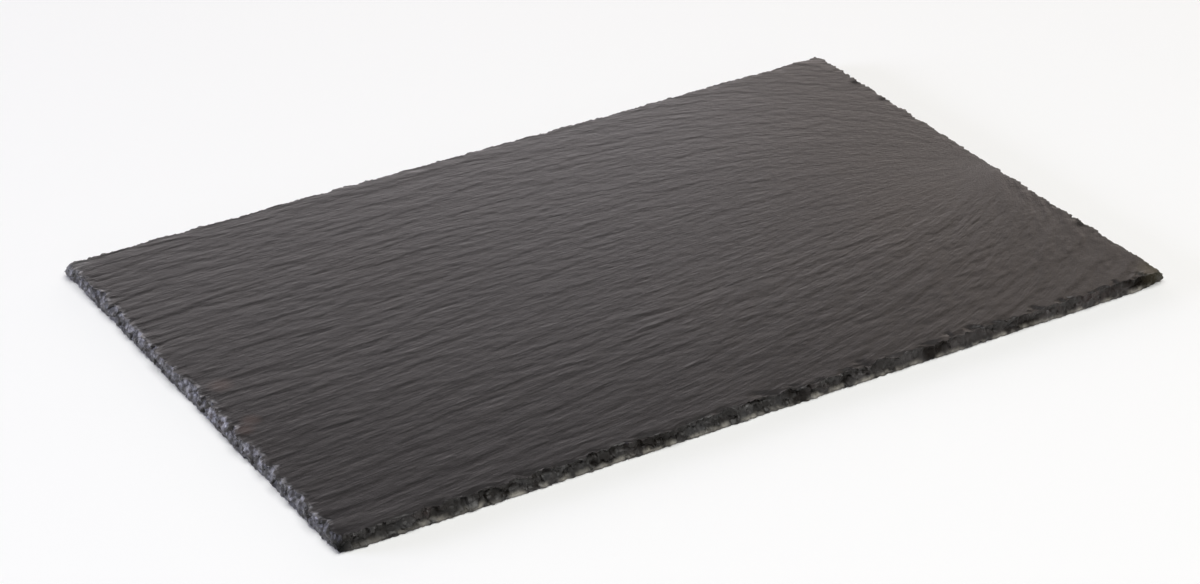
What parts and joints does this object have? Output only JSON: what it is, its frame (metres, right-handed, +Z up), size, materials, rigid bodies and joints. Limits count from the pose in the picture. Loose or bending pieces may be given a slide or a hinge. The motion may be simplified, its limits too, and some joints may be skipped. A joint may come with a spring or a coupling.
{
  "type": "slate slab",
  "caption": "Thin rectangular slab of dark riven slate with a rippled cleft face and hand-chipped, bevelled edges, used flat as a serving board or place mat.",
  "frame": {"origin": "centre of the footprint, on the plane of the flat underside", "axes": "+X along the long side, towards the short edge from which the ridges fan out; +Y along the short side, away from the viewer; +Z up out of the cleft face"},
  "size_m": [0.301, 0.2, 0.0051],
  "materials": {
    "slate": "Dark warm grey riven slate: satin cleft face with fine ridges along the grain, rough chipped edges with small bright facets."
  },
  "bodies": {
    "root": {"slate_slab": "slate"}
  },
  "joints": []
}
